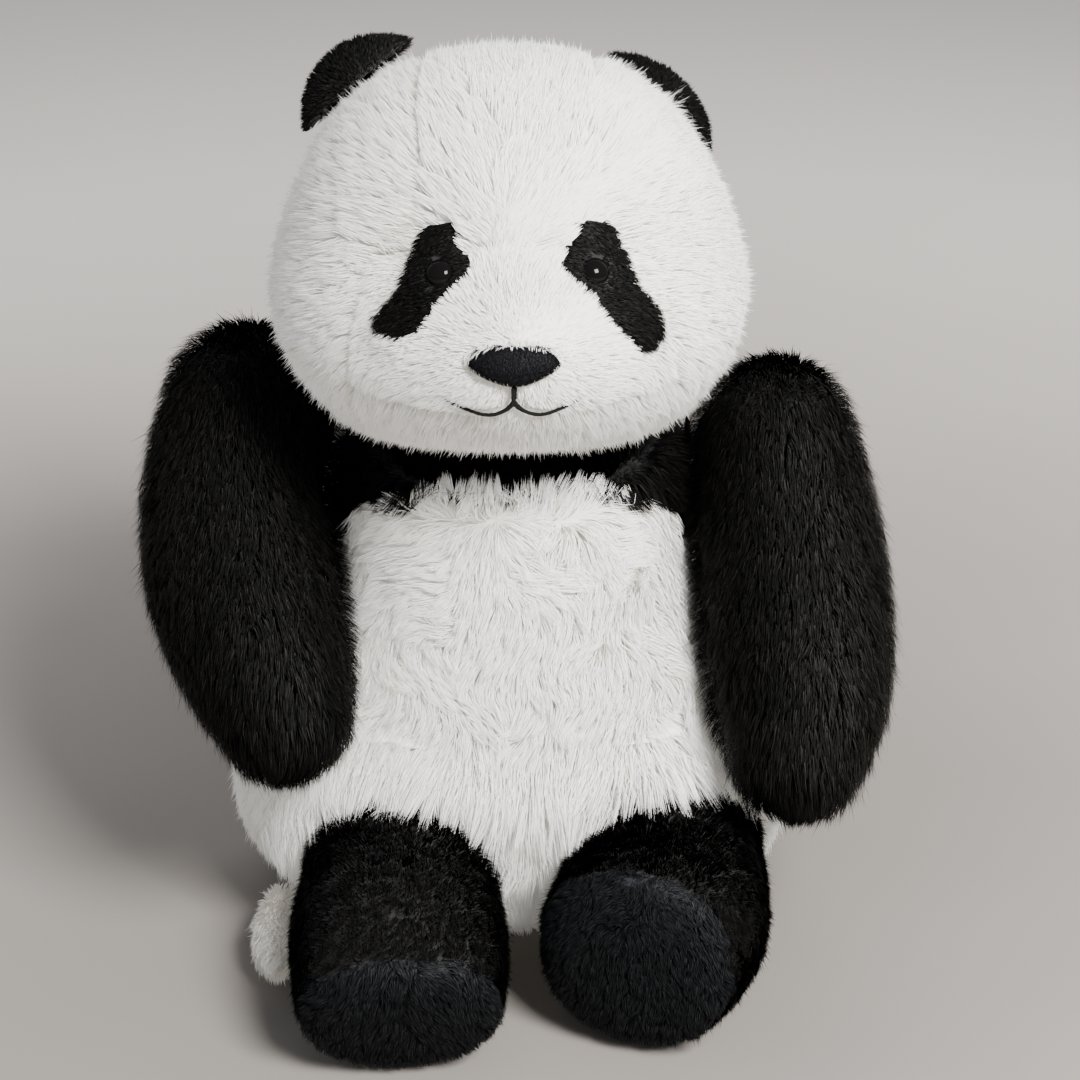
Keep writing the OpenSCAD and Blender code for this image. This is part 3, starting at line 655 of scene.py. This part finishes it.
            # and so does the edge of the belly over the legs
            thin = sstep(0.026, 0.010, by_leg) * sstep(-0.02, -0.05, v[:, 1]) * sstep(0.05, 0.08, v[:, 2])
            fv += thin[:, None] * np.array([0.0, 0.009, 0.013])
        me = make_mesh(fill + "_fibre", fv, quads)
        me.materials.append(FILL)
        me.polygons.foreach_set("use_smooth", np.ones(len(me.polygons), bool))
        o = add_object(fill + "_fibre", me)
        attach(o, body)
        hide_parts(fill)
    for k, p in enumerate(panels):
        sel = quads[own == k]
        if len(sel) == 0:
            continue
        sname, mats, backing = style_of(p)
        st = STYLE[sname]
        used, inv = np.unique(sel, return_inverse=True)
        me = make_mesh(p + "_cloth", skin[used], inv.reshape(sel.shape))
        me.materials.append(backing)
        me.polygons.foreach_set("use_smooth", np.ones(len(me.polygons), bool))
        o = add_object(p + "_cloth", me)
        so = o.modifiers.new("thickness", "SOLIDIFY")
        so.thickness = 1.2 * mm
        so.offset = -1
        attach(o, body)
        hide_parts(p)
        # pile
        seed += 1
        rng = np.random.default_rng(seed)
        P, N, f = sample(skin, sel, vn, st["per"] * 1e6 * DENSE, rng)
        n = len(P)
        S = P + N * st["depth"] * mm
        F = flow(group, p, P, N)
        L = st["L"] * mm * rng.uniform(0.72, 1.12, n)
        W = st["w"] * mm * rng.uniform(0.7, 1.25, n)
        if DENSE < 1:
            W = W * 1.5
        a = np.radians(st["th"][0]) + rng.normal(0, 0.16, n)
        b = np.radians(st["th"][1]) + rng.normal(0, 0.18, n)
        keep = np.ones(n, bool)
        near_other = second[own == k][f]
        sm = sstep(0.0040, 0.001, near_other)
        L *= 1 - 0.2 * sm
        a += 0.1 * sm
        # the pile parts along a seam
        rim = np.nonzero(near_other < 0.006)[0]
        part = 0.35 if sname == "head" else 0.25
        kk = rival[own == k][f]
        for i in rim:
            loc = bvh(panels[kk[i]]).find_nearest(Vector(S[i]), 0.05)[0]
            if loc is not None:
                away = S[i] - np.array(loc)
                F[i] += unit(away) * part * (1 - near_other[i] / 0.006)
        F = unit(F - (F * N).sum(1)[:, None] * N)
        # pressed against a neighbour
        pl = np.full(n, 0.05)
        for t in TOUCH[group]:
            pl = np.minimum(pl, nearest_dist(bvh(t), S, 0.02))
        L *= 1 - 0.3 * sstep(0.008, 0.002, pl)
        if sname == "black":
            stand = sstep(0.018, 0.009, pl)
            a -= 0.35 * stand
            b -= 0.55 * stand
        if group == "torso" and sname == "black":
            # round the neck the pile stands up and fills the fold under the chin
            hd = np.full(n, 0.05)
            for t in ("chin_panel", "face_side_left", "face_side_right", "head_back_left", "head_back_right"):
                hd = np.minimum(hd, nearest_dist(bvh(t), S, 0.03))
            up = sstep(0.024, 0.014, hd)
            a -= 0.45 * up
            b -= 0.7 * up
        lock = np.full(n, st["clump"])
        # a few stray hairs stand out
        stray = rng.random(n) < (0.05 if sname not in ("sole", "ear", "patch", "base") else 0.015)
        L[stray] *= 1.22
        a[stray] -= 0.25
        b[stray] -= 0.4
        tint = rng.choice([0, 1, 2], n, p=[0.5, 0.3, 0.2])
        if group == "head":
            # short round the nose, mouth and eyes
            dn = np.linalg.norm(P - NOSE, axis=1)
            L *= 1 - 0.42 * sstep(0.045, 0.024, dn)
            for s in EYE:
                de = np.linalg.norm(S - EYE[s], axis=1)
                L *= 1 - 0.5 * sstep(0.014, 0.006, de)
            dN = nearest_dist(bvh("nose_pad"), S, 0.02)
            keep &= dN > 1.2 * mm
            dM = nearest_dist(bvh("mouth_stitch"), S, 0.02)
            ends = np.abs(P[:, 0] - NOSE[0])
            keep &= (dM > 1.1 * mm) | ((ends > 0.012) & (rng.random(n) < 0.25 + 24 * (ends - 0.014)))
            L *= 1 - 0.5 * sstep(0.006, 0.001, dM) * sstep(0.031, 0.018, ends)
            if sname != "patch":
                for s in EYE:
                    elo, ehi = (np.array(c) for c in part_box("ear_front_" + s))
                    ec = (elo + ehi) / 2
                    for t in ("ear_front_", "ear_back_"):
                        ne = sstep(0.016, 0.003, nearest_dist(bvh(t + s), S, 0.02))
                        if s == "right":
                            L *= 1 - 0.45 * ne
                            a += 0.12 * ne
                            b += 0.15 * ne
                        else:
                            # a tuft of the head's pile lies over the middle of this ear
                            over = np.exp(-((np.linalg.norm((S - ec)[:, [0, 2]] @ np.array([[0.7071], [-0.7071]]), axis=1) / 0.011) ** 2))
                            L *= 1 + ne * (0.65 * over - 0.3 * (1 - over))
                            a -= 0.22 * ne * over
                            b -= 0.35 * ne * over
                    L *= 1 - 0.42 * sstep(0.007, 0.001, nearest_dist(bvh("eye_patch_" + s), S, 0.02))
            for s in EYE:
                dE = nearest_dist(bvh("eye_" + s), S, 0.02)
                keep &= dE > 0.4 * mm
        if group == "torso":
            if p == "belly_panel":
                front = sstep(-0.02, -0.06, P[:, 1])
                # the long fringe at the foot of the belly falls forward over the legs
                hang = sstep(0.126, 0.106, P[:, 2]) * sstep(0.0, -0.035, P[:, 1])
                L = L * (1 - hang) + hang * 37 * mm * rng.uniform(0.65, 1.1, n)
                a = a * (1 - hang) + hang * rng.normal(0.42, 0.16, n)
                b = b * (1 - hang) + hang * rng.normal(1.55, 0.16, n)
                rise = sstep(0.216, 0.234, P[:, 2]) * front
                mid_x = sstep(0.080, 0.030, np.abs(P[:, 0] - 0.012))
                L *= 1 + (0.12 + 0.85 * mid_x) * rise
                a -= 0.22 * rise
                b -= 0.32 * rise
                lock *= 1 - 0.92 * rise
                # painted shade: more strips take the darker root tint along the fold across the lower belly; the matted
                # patches are a random warm tone
                deep = np.exp(-(((P[:, 2] - 0.120) / 0.005) ** 2)) * front
                matted = sstep(0.1, 0.7, noise(P, 0.018, 31)[:, 0])
                tint = np.where(rng.random(n) < 0.08 + 0.2 * deep + 0.22 * matted, 3, tint)
                keep &= ~((P[:, 2] > 0.222) & (pl < 0.006) & (np.abs(P[:, 0]) > 0.055))
            if p.startswith("hip_panel"):
                keep &= ~((P[:, 2] > 0.198) & (pl < 0.008))
            if p == "crotch_panel":
                L *= 1.1
            if p == "seat_base":
                keep &= P[:, 2] > -1
        if group.startswith("arm"):
            side = group.split("_")[1]
            piv = np.array(JOINTS[f"arm_{side}_lift"]["pos_m"])
            far = sstep(0.13, 0.19, np.linalg.norm(P - piv, axis=1))
            L *= 1 + 0.22 * far
            # painted sheen: the brown-black tint gathers towards the outer side of each arm
            sheen_edge = sstep(0.135, 0.175, np.abs(P[:, 0]))
            tint = np.where(rng.random(n) < 0.16 + 0.5 * sheen_edge, 2, np.where(rng.random(n) < 0.6, 0, 1))
        if group.startswith("leg"):
            tint = rng.choice([0, 1, 2], n, p=[0.5, 0.36, 0.14])
            if p.startswith("foot"):
                tint = rng.choice([0, 1, 2], n, p=[0.45, 0.35, 0.20])
        if mats is WHITE and p != "belly_panel":
            tint = np.where(rng.random(n) < 0.05, 3, tint)
        # painted shade: strips along the brow seam between gusset and muzzle, and along the front of the right gusset
        # seam, take the darker warm root tint
        if p in ("head_gusset", "muzzle_panel", "face_side_right"):
            names = np.array(panels)[kk]
            pair = np.isin(names, ["head_gusset", "muzzle_panel"]) if p != "face_side_right" else names == "head_gusset"
            if p == "head_gusset":
                pair = np.isin(names, ["muzzle_panel", "face_side_right"])
            crease_shade = np.exp(-((near_other / np.where(names == "face_side_right", 0.0014, 0.0032)) ** 2)) * pair * sstep(0.0, -0.03, P[:, 1])
            tint = np.where(rng.random(n) < 0.75 * crease_shade, 3, tint)
        # pile never reaches the floor
        keep &= P[:, 2] > 0.0012
        idx = np.nonzero(keep)[0]
        P, N, F, L, W, a, b, tint, lock = (x[idx] for x in (P, N, F, L, W, a, b, tint, lock))
        lift = sstep(0.012, 0.001, P[:, 2])[:, None] * 0.7
        F = F + np.array([0, 0, 1.0]) * lift
        F = unit(F - (F * N).sum(1)[:, None] * N)
        parts = max(1, math.ceil(len(P) / 62000))
        order = np.argsort(P[:, 2], kind="stable")
        for i, chunk in enumerate(np.array_split(order, parts)):
            blades(f"{p}_pile{i}" if parts > 1 else f"{p}_pile", P[chunk], N[chunk], F[chunk], L[chunk], W[chunk], a[chunk], b[chunk], mats, tint[chunk], body, clump=lock[chunk], cell=st["cell"] * mm, seed=seed * 7 + i)

# ------------------------------------------------------------------ eyes, nose, mouth, inner pieces
def eye(side):
    lo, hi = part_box("eye_" + side)
    v, t = cad_arrays("eye_" + side)
    # axis of the dome: from the post's end to the top
    c = v.mean(0)
    ax = c - middle("eye_washer_" + side)
    ax /= np.linalg.norm(ax)
    w, vec = np.linalg.eigh(np.cov((v - c).T))
    for q in vec.T:
        if abs(q @ ax) > 0.8:
            ax = q * np.sign(q @ ax)
    h = (v - c) @ ax
    r = np.linalg.norm((v - c) - h[:, None] * ax, axis=1)
    base = c + ax * h[r > r.max() * 0.98].mean()
    R = min(r.max(), 7.0 * mm) * 0.93
    bm = bmesh.new()
    segs, rings = 48, 16
    rows = []
    X = np.cross(ax, [0, 0, 1.0])
    X /= np.linalg.norm(X)
    Y = np.cross(ax, X)
    prof = [(R * 0.25, -6.0 * mm), (R * 0.3, -1.2 * mm), (R * 0.86, -1.0 * mm), (R * 0.98, -0.6 * mm), (R, 0.0)]
    prof += [(R * math.cos(a), 0.74 * R * math.sin(a)) for a in np.linspace(0.08, math.pi / 2 - 0.06, rings)]
    for rr, hh in prof:
        rows.append([bm.verts.new(tuple(base - ax * EYE_SINK + ax * hh + (X * math.cos(q) + Y * math.sin(q)) * rr)) for q in np.linspace(0, 2 * math.pi, segs, endpoint=False)])
    for a, b in zip(rows, rows[1:]):
        for i in range(segs):
            bm.faces.new((a[i], a[(i + 1) % segs], b[(i + 1) % segs], b[i]))
    bm.faces.new(list(reversed(rows[0])))
    bm.faces.new(rows[-1])
    bmesh.ops.recalc_face_normals(bm, faces=bm.faces)
    me = bpy.data.meshes.new(f"eye_{side}_dome")
    bm.to_mesh(me)
    bm.free()
    me.materials.append(EYE_MAT)
    me.polygons.foreach_set("use_smooth", np.ones(len(me.polygons), bool))
    o = add_object(f"eye_{side}_dome", me)
    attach(o, "head")
    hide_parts("eye_" + side)


eye("left")
eye("right")


def soft_copy(node, name, body, mat, voxel, smooth):
    v, q, vn = wrapped([node], voxel, smooth)
    me = make_mesh(name, v, q)
    me.materials.append(mat)
    me.polygons.foreach_set("use_smooth", np.ones(len(me.polygons), bool))
    o = add_object(name, me)
    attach(o, body)
    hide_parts(node)
    return v, q, vn


nv, nq, nn = soft_copy("nose_pad", "nose_velour_pad", "head", VELOUR, 0.9 * mm, 6)
rng = np.random.default_rng(5)
P, N, f = sample(nv, nq, nn, 5.0e6 * DENSE, rng)
front = (N @ np.array([0, -1.0, 0])) > -0.1
P, N = P[front], N[front]
n = len(P)
F = unit(np.tile(DOWN, (n, 1)) + noise(P, 0.006, 9) * 0.8)
F = unit(F - (F * N).sum(1)[:, None] * N)
blades("nose_nap", P, N, F, np.full(n, 1.9 * mm), np.full(n, 0.4 * mm), np.full(n, 0.5), np.full(n, 1.1), NOSE_FIBRE, rng.choice([0, 1, 2], n, p=[0.5, 0.3, 0.2]), "head", clump=0.2, cell=1.5 * mm, seed=77)
soft_copy("mouth_stitch", "mouth_thread", "head", THREAD, 0.45 * mm, 2)
# short white hairs lie over the upper edge of the nose
rng = np.random.default_rng(21)
n = 420
u = rng.uniform(-1, 1, n)
lo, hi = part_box("nose_pad")
wide, tall = hi[0] - lo[0], hi[2] - lo[2]
probe = np.stack([(lo[0] + hi[0]) / 2 + u * wide * 0.52, np.full(n, lo[1] - 0.03), hi[2] - tall * (0.02 + 0.42 * np.abs(u) ** 3) + rng.uniform(0.0, 0.0028, n)], 1)
skin_tree = BVHTree.FromPolygons([tuple(x) for x in np.concatenate([cad_arrays(p)[0] for p in ("nose_pad", "muzzle_panel")])], [tuple(int(i) for i in x) for x in np.concatenate([cad_arrays("nose_pad")[1], cad_arrays("muzzle_panel")[1] + len(cad_arrays("nose_pad")[0])])])
hit = [skin_tree.ray_cast(Vector(p), Vector((0, 1, 0))) for p in probe]
ok = [i for i, h in enumerate(hit) if h[0] is not None]
P = np.array([hit[i][0] for i in ok]) + np.array([0, -0.2 * mm, 0])
N = unit(np.array([hit[i][1] for i in ok]))
N[(N[:, 1] > 0)] *= -1
n = len(P)
F = unit(np.tile(DOWN, (n, 1)) + noise(P, 0.004, 12) * 0.5)
F = unit(F - (F * N).sum(1)[:, None] * N)
_area["now"] = 0.0003
blades("nose_edge_pile", P, N, F, rng.uniform(2.6, 4.6, n) * mm, np.full(n, 0.3 * mm), rng.uniform(0.7, 1.1, n), rng.uniform(1.3, 1.6, n), WHITE, rng.choice([0, 1, 2], n), "head", clump=0.15, cell=2 * mm, seed=78)
me = bpy.data.objects["mouth_thread"].data
for vx in me.vertices:
    q = abs(vx.co.x - NOSE[0])
    inward = (Vector(HEAD_C) - vx.co).normalized()
    mid_line = float(sstep(0.006, 0.001, q))
    vx.co += vx.normal * 0.45 * mm * mid_line
    ends = float(sstep(0.008, 0.026, q))
    vx.co -= vx.normal * 0.28 * mm * ends
    vx.co += inward * (1.7 + 3.3 * ends) * mm
    vx.co.z += 1.6 * mm * mid_line * float(sstep(NOSE[2] - 0.016, NOSE[2] - 0.008, vx.co.z))
soft_copy("bead_bag", "bead_pouch", "torso", COTTON, 4 * mm, 6)

for s in ("left", "right"):
    NODES["eye_washer_" + s].data.materials.clear()
    NODES["eye_washer_" + s].data.materials.append(WASHER)
for nm in ("neck_seam", "shoulder_seam_left", "shoulder_seam_right", "hip_seam_left", "hip_seam_right"):
    NODES[nm].data.materials.clear()
    NODES[nm].data.materials.append(SEAM)

# ------------------------------------------------------------------ room, light, camera
def stage_mat(name, a, b):
    m, n, l, bs = tree(name)
    co = n.new("ShaderNodeTexCoord")
    t = n.new("ShaderNodeTexNoise")
    t.inputs["Scale"].default_value = 3
    l.new(co.outputs["Object"], t.inputs["Vector"])
    # painted shade: darker near the toy and paler away from it, standing in for the fall-off of the lamps across the
    # floor
    away = n.new("ShaderNodeVectorMath")
    away.operation = "LENGTH"
    l.new(co.outputs["Object"], away.inputs[0])
    far = n.new("ShaderNodeMapRange")
    far.interpolation_type = "SMOOTHSTEP"
    far.inputs["From Min"].default_value = 0.0
    far.inputs["From Max"].default_value = 1.7
    l.new(away.outputs["Value"], far.inputs["Value"])
    add = n.new("ShaderNodeMath")
    add.operation = "MULTIPLY_ADD"
    l.new(t.outputs["Fac"], add.inputs[0])
    add.inputs[1].default_value = 0.12
    l.new(far.outputs["Result"], add.inputs[2])
    r = n.new("ShaderNodeValToRGB")
    r.color_ramp.elements[0].color = (*a, 1)
    r.color_ramp.elements[1].color = (*b, 1)
    l.new(add.outputs[0], r.inputs["Fac"])
    l.new(r.outputs["Color"], bs.inputs["Base Color"])
    bs.inputs["Roughness"].default_value = 0.9
    return m


bm = bmesh.new()
rows = []
for k, r in enumerate((0.0, 0.4, 1.0, 2.5, 6.0, 14.0)):
    rows.append([bm.verts.new((r * math.cos(q), r * math.sin(q), -0.0004)) for q in np.linspace(0, 2 * math.pi, 48, endpoint=False)] if k else [bm.verts.new((0, 0, -0.0004))])
for q in range(48):
    bm.faces.new((rows[0][0], rows[1][q], rows[1][(q + 1) % 48]))
for a, b in zip(rows[1:], rows[2:]):
    for q in range(48):
        bm.faces.new((a[q], b[q], b[(q + 1) % 48], a[(q + 1) % 48]))
me = bpy.data.meshes.new("backdrop")
bm.to_mesh(me)
bm.free()
me.materials.append(stage_mat("backdrop_paper", (0.155, 0.141, 0.127), (0.71, 0.66, 0.615)))
me.polygons.foreach_set("use_smooth", np.ones(len(me.polygons), bool))
drop = add_object("backdrop", me)


def area(name, loc, target, size, power, colour=(1, 1, 1), glints=False):
    d = bpy.data.lights.new(name, "AREA")
    d.shape = "RECTANGLE"
    d.size, d.size_y = size
    d.energy = power
    d.color = colour
    o = bpy.data.objects.new(name, d)
    o.visible_glossy = glints
    o.location = loc
    o.rotation_euler = (Vector(target) - Vector(loc)).to_track_quat("-Z", "Y").to_euler()
    bpy.context.scene.collection.objects.link(o)


area("key", (0.72, -1.2, 1.36), (0, 0, 0.25), (0.62, 0.56), 108, (1.0, 0.99, 0.965), True)
area("fill", (-1.3, -1.3, 1.0), (0, 0, 0.25), (1.6, 1.4), 4, (0.98, 0.99, 1.0))
area("rim", (0.1, 1.3, 1.9), (0, 0.3, 0.2), (1.6, 0.8), 22)
w = bpy.data.worlds.new("room")
bpy.context.scene.world = w
w.use_nodes = True
w.node_tree.nodes["Background"].inputs["Color"].default_value = (0.93, 0.95, 1.0, 1)
w.node_tree.nodes["Background"].inputs["Strength"].default_value = 0.46

cam = bpy.data.cameras.new("camera")
cam.lens = 80
cam.sensor_width = 36
co = bpy.data.objects.new("camera", cam)
co.location = (0, -1.110, 0.690)
co.rotation_euler = (Vector((0.0139, -0.020, 0.2093)) - Vector(co.location)).to_track_quat("-Z", "Y").to_euler()
bpy.context.scene.collection.objects.link(co)
bpy.context.scene.camera = co
